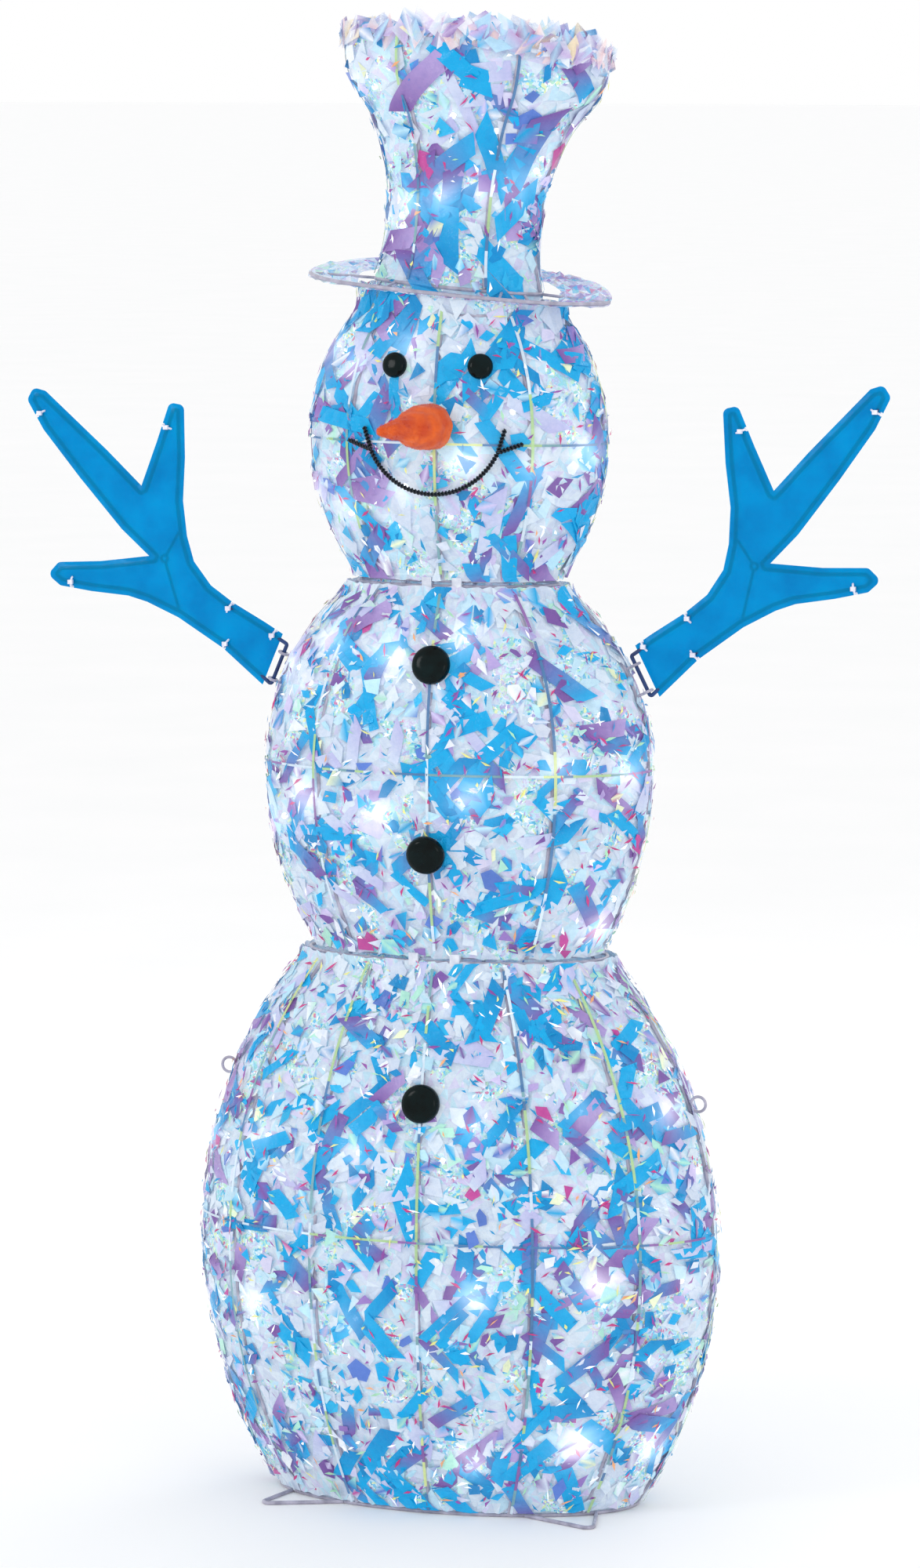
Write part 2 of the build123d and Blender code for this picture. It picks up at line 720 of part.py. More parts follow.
# The film lies under the front wire and over the back wire
with BuildPart() as brim_film:
    for half in (brim_front, brim_back):
        plane = brim_plane(half)
        with BuildSketch(plane.offset(half["film_z"])):
            with BuildLine():
                edge = Spline(*brim_edge(half, 1.025))
                Line(edge @ 1, edge @ 0)
            make_face()
            Ellipse(brim_hole_half_length, half["hole"], mode=Mode.SUBTRACT)
        extrude(amount=1.0, dir=plane.z_dir)
    with Locations(hat_plane):
        Box(400, 2.4, 40, mode=Mode.SUBTRACT)
save(brim_film, "brim_film")

# Spokes carry the brim wire, posts stand the crown on the head's top ring
with BuildPart() as hat_spokes:
    ring_z = crown_profile[0][0]
    for side in (-1, 1):
        rod(crown_point(side * 90, ring_z), hat_plane.from_local_coords((side * brim_half_length, 0, 0)),
            thin_wire_d, wire_d / 2 - weld, wire_d / 2 - weld)
        for half, angle in ((brim_front, 40), (brim_back, 140)):
            x, y = brim_edge(half)[3 + side]
            rod(crown_point(side * angle, ring_z), brim_plane(half).from_local_coords((x, y, 0)),
                thin_wire_d, wire_d / 2 - weld, wire_d / 2 - weld)
        for angle in (60, 120):
            rod(frame_point(head_tier, side * angle, head_tier[2][0]), crown_point(side * angle, ring_z),
                thin_wire_d, wire_d / 2 - weld, wire_d / 2 - weld)
save(hat_spokes, "hat_spokes")


crown_lights = [crown_point(30 * step + 200, 34 + 11.5 * step, 11.0) for step in range(17)]
with BuildPart() as crown_light_string:
    light_string(crown_lights)
save(crown_light_string, "crown_light_string")

with BuildPart() as crown_bulbs:
    bulbs(crown_lights)
save(crown_bulbs, "crown_bulbs")
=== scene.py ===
"""Looks for the wire-frame yard snowman: iridescent film over every tier and the hat,
blue film arms, lit lamps, a plush carrot nose and a twisted-cord mouth."""

import json
import math
import random

import bpy
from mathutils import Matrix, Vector, geometry, noise
from mathutils.bvhtree import BVHTree


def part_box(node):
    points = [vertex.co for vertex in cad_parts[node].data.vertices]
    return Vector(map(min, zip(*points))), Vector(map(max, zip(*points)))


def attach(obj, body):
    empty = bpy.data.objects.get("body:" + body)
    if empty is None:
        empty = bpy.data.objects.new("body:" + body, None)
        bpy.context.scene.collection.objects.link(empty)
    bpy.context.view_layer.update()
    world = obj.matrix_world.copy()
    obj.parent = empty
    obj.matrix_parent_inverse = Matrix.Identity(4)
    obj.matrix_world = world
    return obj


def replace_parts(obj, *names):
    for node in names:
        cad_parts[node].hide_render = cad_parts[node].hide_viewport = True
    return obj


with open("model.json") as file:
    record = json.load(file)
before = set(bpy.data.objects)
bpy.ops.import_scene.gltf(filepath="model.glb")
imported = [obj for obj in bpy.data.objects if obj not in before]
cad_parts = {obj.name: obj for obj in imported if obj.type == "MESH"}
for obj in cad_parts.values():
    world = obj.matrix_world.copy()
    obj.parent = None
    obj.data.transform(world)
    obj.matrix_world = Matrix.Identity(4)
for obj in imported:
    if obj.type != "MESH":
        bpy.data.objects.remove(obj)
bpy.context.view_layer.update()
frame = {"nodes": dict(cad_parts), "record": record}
nodes = frame["nodes"]


# ------------------------------------------------------------------ material helpers
def new_material(name):
    """A node material: (material, its tree, its Principled shader)."""
    material = bpy.data.materials.new(name)
    material.use_nodes = True
    tree = material.node_tree
    return material, tree, tree.nodes["Principled BSDF"]


def noise_value(tree, scale, detail=3.0, roughness=0.5):
    """Noise over the object's own space."""
    place = tree.nodes.new("ShaderNodeTexCoord")
    texture = tree.nodes.new("ShaderNodeTexNoise")
    texture.inputs["Scale"].default_value = scale
    texture.inputs["Detail"].default_value = detail
    texture.inputs["Roughness"].default_value = roughness
    tree.links.new(place.outputs["Object"], texture.inputs["Vector"])
    return texture.outputs["Fac"]


def colour_ramp(tree, value, stops, stepped=False):
    """Colour ramp over a value; stops are (position, colour)."""
    ramp = tree.nodes.new("ShaderNodeValToRGB")
    if stepped:
        ramp.color_ramp.interpolation = "CONSTANT"
    elements = ramp.color_ramp.elements
    elements[0].position, elements[0].color = stops[0][0], (*stops[0][1], 1)
    elements[1].position, elements[1].color = stops[-1][0], (*stops[-1][1], 1)
    for position, colour in stops[1:-1]:
        elements.new(position).color = (*colour, 1)
    tree.links.new(value, ramp.inputs["Fac"])
    return ramp.outputs["Color"]


def spread(tree, value, low, high):
    """Maps 0..1 to low..high."""
    node = tree.nodes.new("ShaderNodeMapRange")
    node.inputs["To Min"].default_value = low
    node.inputs["To Max"].default_value = high
    tree.links.new(value, node.inputs["Value"])
    return node.outputs["Result"]


def blend_colours(tree, factor, first, second, way="MIX"):
    """Mixes two colour sockets; factor is a socket or a number."""
    node = tree.nodes.new("ShaderNodeMix")
    node.data_type, node.blend_type = "RGBA", way
    if isinstance(factor, float):
        node.inputs[0].default_value = factor
    else:
        tree.links.new(factor, node.inputs[0])
    tree.links.new(first, node.inputs[6])
    tree.links.new(second, node.inputs[7])
    return node.outputs[2]


def calculate(tree, operation, first, second):
    """Clamped arithmetic on two values; each is a socket or a number."""
    node = tree.nodes.new("ShaderNodeMath")
    node.operation, node.use_clamp = operation, True
    for socket, value in zip(node.inputs, (first, second)):
        if isinstance(value, float):
            socket.default_value = value
        else:
            tree.links.new(value, socket)
    return node.outputs[0]


def add_bump(tree, shader, value, strength, depth):
    """Bump from a value, in metres of depth."""
    bump = tree.nodes.new("ShaderNodeBump")
    bump.inputs["Strength"].default_value = strength
    bump.inputs["Distance"].default_value = depth
    tree.links.new(value, bump.inputs["Height"])
    tree.links.new(bump.outputs["Normal"], shader.inputs["Normal"])


def mottled(name, dark, light, scale, roughness, grain, depth, sockets=()):
    """Coloured material with two-tone mottling, uneven gloss and a fine grain."""
    material, tree, shader = new_material(name)
    value = noise_value(tree, scale)
    tree.links.new(colour_ramp(tree, value, [(0.3, dark), (0.7, light)]), shader.inputs["Base Color"])
    tree.links.new(spread(tree, value, *roughness), shader.inputs["Roughness"])
    add_bump(tree, shader, noise_value(tree, grain), 0.35, depth)
    for socket, amount in sockets:
        shader.inputs[socket].default_value = amount
    return material


# ------------------------------------------------------------------ materials
def pastel_colour(tree):
    """Soft change of tint across crinkled film, over 5 to 10 mm."""
    stops = [(0.30, (0.34, 0.72, 0.90)), (0.38, (0.50, 0.80, 0.93)), (0.44, (0.44, 0.80, 0.62)),
             (0.49, (0.74, 0.84, 0.94)), (0.54, (0.60, 0.44, 0.74)), (0.58, (0.78, 0.80, 0.92)),
             (0.63, (0.42, 0.74, 0.90)), (0.69, (0.80, 0.88, 0.60)), (0.74, (0.56, 0.82, 0.86))]
    return colour_ramp(tree, noise_value(tree, 88.0, 3.5, 0.62), stops)


def crinkle_colour(tree):
    """Fine crinkles of the film: specks 1 to 3 mm across in many tints."""
    place = tree.nodes.new("ShaderNodeTexCoord")
    warp = tree.nodes.new("ShaderNodeTexNoise")
    warp.inputs["Scale"].default_value = 110.0
    tree.links.new(place.outputs["Object"], warp.inputs["Vector"])
    shift = tree.nodes.new("ShaderNodeVectorMath")
    shift.operation = "MULTIPLY_ADD"
    shift.inputs[1].default_value = (0.012, 0.012, 0.012)
    tree.links.new(warp.outputs["Color"], shift.inputs[0])
    tree.links.new(place.outputs["Object"], shift.inputs[2])
    cells = tree.nodes.new("ShaderNodeTexVoronoi")
    cells.inputs["Scale"].default_value = 360.0
    tree.links.new(shift.outputs[0], cells.inputs["Vector"])
    split = tree.nodes.new("ShaderNodeSeparateColor")
    tree.links.new(cells.outputs["Color"], split.inputs["Color"])
    stops = [(0.0, (0.50, 0.78, 0.92)), (0.17, (0.30, 0.68, 0.62)), (0.28, (0.70, 0.84, 0.93)),
             (0.42, (0.98, 1.0, 1.0)), (0.53, (0.14, 0.56, 0.84)), (0.65, (0.82, 0.88, 0.42)),
             (0.72, (0.48, 0.82, 0.60)), (0.82, (0.42, 0.32, 0.66)), (0.90, (0.0, 0.38, 0.66)),
             (0.96, (0.66, 0.12, 0.30))]
    return colour_ramp(tree, split.outputs["Red"], stops, stepped=True), cells.outputs["Distance"]


def film_material(name):
    """Iridescent film.

    The corners of each facet carry its tint, with its opacity, and its light: how much
    of a lamp shines through, how crinkled the film is and how much it glows.
    """
    material, tree, shader = new_material(name)
    tint = tree.nodes.new("ShaderNodeVertexColor")
    tint.layer_name = "tint"
    light = tree.nodes.new("ShaderNodeVertexColor")
    light.layer_name = "light"
    split = tree.nodes.new("ShaderNodeSeparateColor")
    tree.links.new(light.outputs["Color"], split.inputs["Color"])
    hot, crinkled, glow = split.outputs[0], split.outputs[1], split.outputs[2]

    streak = noise_value(tree, 170.0, 4.0, 0.6)
    streaks = colour_ramp(tree, streak, [(0.3, (0.86, 0.90, 0.95)), (0.6, (1, 1, 1))])
    plain = blend_colours(tree, 1.0, tint.outputs["Color"], streaks, "MULTIPLY")
    soft = blend_colours(tree, calculate(tree, "MULTIPLY", crinkled, 0.62), plain, pastel_colour(tree))
    specks, ridges = crinkle_colour(tree)
    patches = colour_ramp(tree, noise_value(tree, 62.0, 2.0), [(0.42, (0, 0, 0)), (0.50, (1, 1, 1))])
    amount = calculate(tree, "MULTIPLY", calculate(tree, "MULTIPLY", patches, crinkled), 0.85)
    colour = blend_colours(tree, amount, soft, specks)
    tree.links.new(colour, shader.inputs["Base Color"])

    # Emission: painted glow (the facet colour times its glow share) plus painted lamp light (hot) where a
    # lamp lies behind the film; the film itself is no lamp.
    own = tree.nodes.new("ShaderNodeVectorMath")
    own.operation = "MULTIPLY_ADD"
    tree.links.new(colour, own.inputs[0])
    tree.links.new(glow, own.inputs[1])
    tree.links.new(hot, own.inputs[2])
    tree.links.new(own.outputs[0], shader.inputs["Emission Color"])
    shader.inputs["Emission Strength"].default_value = 1.0

    tree.links.new(tint.outputs["Alpha"], shader.inputs["Alpha"])
    tree.links.new(spread(tree, streak, 0.06, 0.24), shader.inputs["Roughness"])
    add_bump(tree, shader, ridges, 0.35, 0.0012)
    shader.inputs["Specular IOR Level"].default_value = 0.25
    shader.inputs["Coat Weight"].default_value = 0.08
    shader.inputs["Coat Roughness"].default_value = 0.05
    return material


def arm_film_material():
    """Clear blue film: deeper along faint creases, with soft streaks."""
    material, tree, shader = new_material("arm_film")
    value = noise_value(tree, 24.0, 4.0, 0.6)
    tones = [(0.30, (0.0, 0.25, 0.54)), (0.55, (0.0, 0.33, 0.66)), (0.80, (0.0, 0.40, 0.74))]
    colour = colour_ramp(tree, value, tones)
    tree.links.new(colour, shader.inputs["Base Color"])
    # Painted glow: the film gives off a tenth of its colour, though no lamp lies inside the arm.
    tree.links.new(colour, shader.inputs["Emission Color"])
    shader.inputs["Emission Strength"].default_value = 0.10
    shader.inputs["Specular IOR Level"].default_value = 0.12
    tree.links.new(spread(tree, noise_value(tree, 300.0), 0.10, 0.22), shader.inputs["Roughness"])
    add_bump(tree, shader, noise_value(tree, 70.0, 5.0, 0.6), 0.3, 0.0015)
    clear = tree.nodes.new("ShaderNodeBsdfTransparent")
    through = colour_ramp(tree, value, [(0.3, (0.0, 0.42, 0.80)), (0.8, (0.01, 0.60, 0.90))])
    tree.links.new(through, clear.inputs["Color"])
    mix = tree.nodes.new("ShaderNodeMixShader")
    tree.links.new(spread(tree, value, 0.62, 0.46), mix.inputs[0])
    tree.links.new(clear.outputs[0], mix.inputs[1])
    tree.links.new(shader.outputs[0], mix.inputs[2])
    tree.links.new(mix.outputs[0], tree.nodes["Material Output"].inputs["Surface"])
    return material


def lamp_material():
    """Lit lamp: hot, with a slightly cooler and uneven skin."""
    material, tree, shader = new_material("lamp_glow")
    value = noise_value(tree, 500.0)
    colour = colour_ramp(tree, value, [(0.2, (0.80, 0.92, 1.0)), (0.8, (1, 1, 1))])
    tree.links.new(colour, shader.inputs["Emission Color"])
    tree.links.new(colour, shader.inputs["Base Color"])
    shader.inputs["Emission Strength"].default_value = 12.0
    return material


gloss = (("Coat Weight", 0.05), ("Coat Roughness", 0.08), ("Specular IOR Level", 0.10))
looks = {
    "frame_wire": mottled("wire_coating", (0.28, 0.27, 0.36), (0.52, 0.50, 0.62), 90, (0.25, 0.45),
                          700, 0.0003, (("Coat Weight", 0.3),)),
    "button_black": mottled("button_gloss", (0.0, 0.002, 0.002), (0.001, 0.009, 0.010), 60,
                            (0.10, 0.2), 500, 0.0002, gloss),
    "cable_tie": mottled("tie_nylon", (0.70, 0.68, 0.82), (0.93, 0.92, 0.98), 200, (0.2, 0.35),
                         900, 0.0002),
    "clip_plastic": mottled("clip_plastic", (0.58, 0.62, 0.74), (0.80, 0.84, 0.92), 120,
                            (0.3, 0.45), 900, 0.0002),
    "light_wire": mottled("cord_pvc", (0.55, 0.66, 0.62), (0.82, 0.90, 0.86), 150, (0.2, 0.35),
                          900, 0.0002),
    "led": lamp_material(),
}
# The arm wires are painted dark navy: painted shade of the pale wire seen inside the blue film.
painted_shade_arm_wire = mottled("painted_shade_arm_wire", (0.002, 0.02, 0.11), (0.008, 0.05, 0.20), 120, (0.25, 0.45), 700, 0.0003)
nose_plush = mottled("nose_plush", (0.62, 0.055, 0.001), (0.90, 0.15, 0.004), 60, (0.45, 0.65),
                     1400, 0.0008, (("Sheen Weight", 0.12), ("Specular IOR Level", 0.35)))
mouth_cord = mottled("mouth_cord", (0.001, 0.002, 0.004), (0.004, 0.012, 0.026), 300, (0.25, 0.5),
                     1500, 0.0004)
film_look = film_material("film_iridescent")
arm_look = arm_film_material()

for entry in frame["record"]["subparts"]:
    name = entry["node"]
    look = looks.get(entry["material_slot"])
    if "_arm_frame" in name or "_arm_braces" in name:
        look = painted_shade_arm_wire
    if look:
        nodes[name].data.materials.clear()
        nodes[name].data.materials.append(look)

# ------------------------------------------------------------------ film tints, linear colour
# Blue strongest at the front and back and purple at the flanks is painted iridescence: the colour shift
# with the angle of view, fixed by side.
FRONT_PEAK, FLANK_PEAK = 0.03, 0.20   # shares of the way round where blue and purple are strongest
CALM_TINTS = [((0.68, 0.77, 0.86), 7), ((0.62, 0.70, 0.83), 5), ((0.54, 0.76, 0.88), 4),
              ((0.66, 0.64, 0.84), 2)]
CRINKLE_TINTS = [((0.40, 0.74, 0.90), 24), ((0.36, 0.74, 0.72), 12), ((0.66, 0.84, 0.93), 14),
                 ((0.74, 0.84, 0.52), 5), ((0.0, 0.42, 0.74), 10), ((0.38, 0.26, 0.62), 8),
                 ((0.56, 0.08, 0.24), 2), ((0.62, 0.66, 0.86), 10)]
BLUE, DEEP_BLUE, PURPLE = (0.0, 0.39, 0.76), (0.0, 0.25, 0.58), (0.20, 0.09, 0.36)
BLUE_TINTS = [(BLUE, 10), (DEEP_BLUE, 4), ((0.02, 0.46, 0.80), 4), ((0.10, 0.20, 0.60), 2)]
PURPLE_TINTS = [(PURPLE, 8), ((0.30, 0.18, 0.52), 6), ((0.44, 0.34, 0.66), 4), ((0.50, 0.06, 0.30), 3)]
PALE_TINTS = [((0.66, 0.72, 0.84), 8), ((0.48, 0.76, 0.90), 5), ((0.44, 0.80, 0.66), 3),
              ((0.60, 0.54, 0.80), 3), ((0.82, 0.88, 0.60), 1), ((0.86, 0.90, 0.98), 3)]
# The white tint among these is for painted glints; the others are fold colours.
SLIVER_AND_GLINT_TINTS = [((0.60, 0.04, 0.22), 16), ((0.30, 0.08, 0.38), 18), ((0.95, 0.98, 1.0), 14),
                ((0.86, 0.84, 0.30), 8), ((0.90, 0.42, 0.20), 5), ((0.0, 0.30, 0.62), 20),
                ((0.42, 0.78, 0.52), 9)]
# Crease tints: the dark blues and purples are painted shade along the wires under the film, the greens and
# yellow-greens painted reflections off them, the pale one the film's own colour.
CREASE_SHADE_AND_REFLECTION_TINTS = [((0.42, 0.62, 0.30), 12), ((0.62, 0.72, 0.30), 5), ((0.08, 0.20, 0.40), 16),
                ((0.20, 0.38, 0.42), 16), ((0.26, 0.12, 0.36), 10), ((0.66, 0.78, 0.88), 16)]
BRIM_PALE = [((0.80, 0.82, 0.93), 18), ((0.60, 0.62, 0.84), 14), ((0.44, 0.68, 0.88), 8),
             ((0.40, 0.28, 0.64), 5), (BLUE, 3), ((0.50, 0.80, 0.68), 4)]
RUFFLE_TINTS = [((0.62, 0.48, 0.78), 8), ((0.90, 0.66, 0.66), 5), ((0.84, 0.86, 0.95), 8),
                ((0.46, 0.72, 0.90), 5), ((0.88, 0.74, 0.52), 2)]
BRIM_PURPLE = [((0.56, 0.46, 0.78), 16), ((0.32, 0.18, 0.54), 14), ((0.76, 0.78, 0.94), 12),
               ((0.50, 0.08, 0.34), 6), (BLUE, 8), ((0.46, 0.72, 0.88), 5)]


def facing(u, peak):
    """From 0 to 1: highest at the given share of the way round and right opposite it."""
    return 0.5 + 0.5 * math.cos(4 * math.pi * (u - peak))


def pick(rng, tints, vary=0.10):
    """A weighted tint, made a little lighter or darker."""
    colour = rng.choices([tint for tint, _ in tints], [weight for _, weight in tints])[0]
    gain = 1 + rng.uniform(-vary, vary)
    return Vector([min(1.0, channel * gain) for channel in colour])


# ------------------------------------------------------------------ the shapes the film lies on
def world_tree(names):
    """One search tree over several CAD nodes."""
    vertices, faces = [], []
    for name in names:
        base = len(vertices)
        vertices.extend(vertex.co.copy() for vertex in nodes[name].data.vertices)
        faces.extend([base + index for index in polygon.vertices] for polygon in nodes[name].data.polygons)
    return BVHTree.FromPolygons(vertices, faces)


def lamp_places(name):
    """Centres of the lamps in a CAD node, found by grouping its vertices."""
    groups = []
    for vertex in nodes[name].data.vertices:
        near = [group for group in groups if (group[0] - vertex.co).length < 0.0075]
        if near:
            near[0].append(vertex.co)
        else:
            groups.append([vertex.co])
    return [sum(group, Vector()) / len(group) for group in groups]


def middle(name):
    """Middle of a CAD node's box."""
    low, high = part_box(name)
    return (Vector(low) + Vector(high)) / 2


class Shell:
    """Outer surface of a tier's film, read from the CAD film between two points of its axis.

    A place is given as (u, t): u from 0 to 1 is the share of the way round, starting at
    the front, and t from 0 to 1 the height. With an arch the top rises towards the
    middle of the figure, and with a lean towards the left, by that share of the height.
    """

    ROWS, TURNS = 44, 144

    def __init__(self, film, foot, top, half_length, arch=0.0, lean=0.0):
        tree = world_tree(film)
        self.foot, self.top = foot, top
        self.half_length, self.arch, self.lean = half_length, arch, lean
        self.height = (top - foot).length
        up = (top - foot).normalized()
        side = Vector((1, 0, 0))
        side = (side - up * side.dot(up)).normalized()
        back = up.cross(side)
        self.ways = []
        for step in range(self.TURNS):
            turn = 2 * math.pi * step / self.TURNS
            self.ways.append(side * math.sin(turn) - back * math.cos(turn))
        self.reach = [[0.0] * self.TURNS]
        for row in range(self.ROWS):
            self.reach.append(self._row(tree, row / (self.ROWS - 1), self.reach[-1]))
        self.reach.pop(0)
        self.share = [self._shares(row) for row in range(self.ROWS)]

    def raised(self, t, x):
        """Height share at a place that is x away from the axis, sideways."""
        x = max(-1.0, min(1.0, x / self.half_length))
        return t + t ** 3 * (self.arch * (1 - x * x) - self.lean * x)

    def _row(self, tree, t, below):
        """Reach of the film in every direction at one height, with the gaps filled in."""
        found = [None] * self.TURNS
        for nudge in (0.0, 0.006, -0.006, -0.012):
            level = min(0.997, max(0.003, t + nudge))
            for index, way in enumerate(self.ways):
                raised = self.raised(level, way.x * below[index])
                centre = self.foot.lerp(self.top, raised if self.arch else min(0.997, raised))
                hit = tree.ray_cast(centre + way * 0.5, -way, 0.49)
                if hit[0] and not found[index]:
                    found[index] = 0.5 - hit[3]
        known = [index for index, value in enumerate(found) if value]
        for index, value in enumerate(found):
            if not value:
                before = min(known, key=lambda other: (index - other) % self.TURNS)
                after = min(known, key=lambda other: (other - index) % self.TURNS)
                part = ((index - before) % self.TURNS) / max(1, (after - before) % self.TURNS)
                found[index] = found[before] * (1 - part) + found[after] * part
        return found

    def _shares(self, row):
        """Girth at a row, and the share of the way round at which each direction comes."""
        points = [way * reach for way, reach in zip(self.ways, self.reach[row])]
        lengths = [(points[(i + 1) % self.TURNS] - points[i]).length for i in range(self.TURNS)]
        shares = [0.0]
        for length in lengths:
            shares.append(shares[-1] + length / sum(lengths))
        return sum(lengths), shares

    def row_of(self, t):
        """Row nearest to a height."""
        return min(self.ROWS - 1, max(0, round(t * (self.ROWS - 1))))

    def girth(self, t):
        """Length of the way round at a height."""
        return self.share[self.row_of(t)][0]

    def u_at(self, turn, t):
        """Share of the way round at a compass direction, in radians from the front."""
        shares = self.share[self.row_of(t)][1]
        step = (turn / (2 * math.pi) % 1.0) * self.TURNS
        low = int(step) % self.TURNS
        return shares[low] + (shares[low + 1] - shares[low]) * (step - int(step))

    def _on_row(self, row, u):
        """Reach of the film, as a vector from the axis."""
        shares = self.share[row][1]
        u %= 1.0
        low, high = 0, self.TURNS
        while high - low > 1:
            mid = (low + high) // 2
            if shares[mid] <= u:
                low = mid
            else:
                high = mid
        part = (u - shares[low]) / (shares[high] - shares[low])
        start = self.ways[low] * self.reach[row][low]
        end = self.ways[high % self.TURNS] * self.reach[row][high % self.TURNS]
        return start.lerp(end, part)

    def on(self, u, t):
        """Place on the film surface."""
        level = min(1.0, max(0.0, t)) * (self.ROWS - 1)
        row = min(self.ROWS - 2, int(level))
        spoke = self._on_row(row, u).lerp(self._on_row(row + 1, u), level - row)
        return self.foot.lerp(self.top, self.raised(t, spoke.x)) + spoke

    def place(self, u, t, out):
        """Place on the film surface, moved out along its normal."""
        along = self.on(u + 0.004, t) - self.on(u - 0.004, t)
        upward = self.on(u, t + 0.01) - self.on(u, t - 0.01)
        return self.on(u, t) + along.cross(upward).normalized() * out


# ------------------------------------------------------------------ building pieces
def new_piece(name, body, material, vertices, faces, smooth=True):
    """A mesh piece that rides on a body."""
    mesh = bpy.data.meshes.new(name)
    mesh.from_pydata([tuple(vertex) for vertex in vertices], [], faces)
    mesh.polygons.foreach_set("use_smooth", [smooth] * len(mesh.polygons))
    mesh.materials.append(material)
    piece = bpy.data.objects.new(name, mesh)
    bpy.context.scene.collection.objects.link(piece)
    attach(piece, body)
    return piece


class Film:
    """Facets gathered for one piece of film."""

    def __init__(self, shell, cage, lamps, rng, shine=1.0, blueness=1.0):
        self.shell, self.cage, self.rng, self.blueness = shell, cage, rng, blueness
        self.span = (0.0, 1.0)
        self.lamps = [(lamp, shine * rng.uniform(0.15, 1.0)) for lamp in lamps]
        self.vertices, self.faces, self.tints, self.lights = [], [], [], []
        self.heat = {}

    CORE, HALO = (2.4, 0.0135), (0.07, 0.036)   # strength and radius of a lamp seen through film

    def heat_at(self, index):
        """How much of the brightest lamp shines through at a vertex."""
        if index not in self.heat:
            place = self.vertices[index]
            heats = [shine * sum(strength * math.exp(-((lamp - place).length / radius) ** 2)
                                 for strength, radius in (self.CORE, self.HALO))
                     for lamp, shine in self.lamps]
            self.heat[index] = max(heats, default=0.0)
        return self.heat[index]

    def face(self, corners, tints, opacity, crinkled=0.0, glow=0.09):
        """Adds a facet; tints is one tint, or one for each corner."""
        if isinstance(tints, Vector):
            tints = [tints] * len(corners)
        self.faces.append(corners)
        for index, tint in zip(corners, tints):
            self.tints.extend((*tint, opacity))
            # The light colour holds the painted lamp light, the crinkle share and the painted glow.
            self.lights.extend((self.heat_at(index), crinkled, glow, 1.0))

    def skin(self, cell, low, high):
        """Crinkled film, drawn in over the wires so that they show."""
        rng, shell = self.rng, self.shell
        rows = max(4, round(shell.height * (high - low) / cell))
        columns = round(shell.girth(0.5) / cell)
        base = len(self.vertices)
        for row in range(rows + 1):
            loose = 0.36 if 0 < row < rows else 0.15
            for column in range(columns):
                u = (column + rng.uniform(-0.36, 0.36) + 0.5 * (row % 2)) / columns
                t = low + (high - low) * (row + rng.uniform(-loose, loose)) / rows
                nearest = self.cage.find_nearest(shell.place(u, t, 0.0), 0.02)
                out = rng.uniform(-0.0034, -0.0004) + 0.0016 * noise.noise(shell.on(u, t) * 30.0)
                if nearest[0] is not None and nearest[3] < 0.0050:
                    out = rng.uniform(-0.0052, -0.0036)
                self.vertices.append(shell.place(u, t, out))
        for row in range(rows):
            for column in range(columns):
                following = (column + 1) % columns
                a = base + row * columns + column
                b = base + row * columns + following
                c = base + (row + 1) * columns + following
                d = base + (row + 1) * columns + column
                halves = ((a, b, c), (a, c, d)) if rng.random() < 0.5 else ((a, b, d), (b, c, d))
                for corners in halves:
                    self.skin_facet(corners)

    def skin_facet(self, corners):
        """Calm lavender-grey patches between crinkled patches of many tints."""
        centre = sum((self.vertices[index] for index in corners), Vector()) / 3
        seed = noise.voronoi(centre * 34.0)[1][0]
        if noise.cell(seed * 31.0) < 0.30:
            self.face(corners, pick(self.rng, CALM_TINTS, 0.04), 0.88)
        else:
            self.face(corners, pick(self.rng, CRINKLE_TINTS), 0.92, 1.0)

    def tints_at(self, u):
        """List of scrap tints: blue faces the front and back, purple the flanks, as painted iridescence
        fixed by side.
        """
        front, flank = facing(u, FRONT_PEAK), facing(u, FLANK_PEAK)
        weights = (self.blueness * (0.30 + 0.30 * front), 0.13 + 0.24 * flank, 0.46)
        return self.rng.choices((BLUE_TINTS, PURPLE_TINTS, PALE_TINTS), weights)[0]

    def outline_points(self, u, t, outline, heading, outs):
        """Adds the vertices of an outline, given in metres, laid on the film."""
        shell = self.shell
        first = len(self.vertices)
        for (run, across), out in zip(outline, outs):
            du = (run * math.cos(heading) - across * math.sin(heading)) / shell.girth(t)
            dt = (run * math.sin(heading) + across * math.cos(heading)) / shell.height
            height = min(self.span[1], max(self.span[0], t + dt))
            self.vertices.append(shell.place(u + du, height, out))
        return first

    def ribbon(self, u, t, heading, length, width, lift, tints, opacity):
        """A length of ribbon, cut at a slant, its tint changing from one end to the other."""
        rng = self.rng
        steps = max(2, round(length / 0.010))
        slants = [rng.uniform(-0.6, 0.6) * width for _ in range(2)]
        wave = rng.uniform(0, 6.3)
        outline, outs = [], []
        for step in range(steps + 1):
            part = step / steps
            slant = slants[0] * (1 - part) + slants[1] * part
            for side in (-0.5, 0.5):
                outline.append((length * part + slant * side * 2, width * side))
                outs.append(lift + 0.0012 * math.sin(wave + step * 1.7 + side * 2))
        base = self.outline_points(u, t, outline, heading, outs)
        for step in range(steps):
            a = base + 2 * step
            near, far = (tints[0].lerp(tints[1], (step + end) / steps) for end in (0, 1))
            self.face((a, a + 1, a + 3, a + 2), [near, near, far, far], opacity)

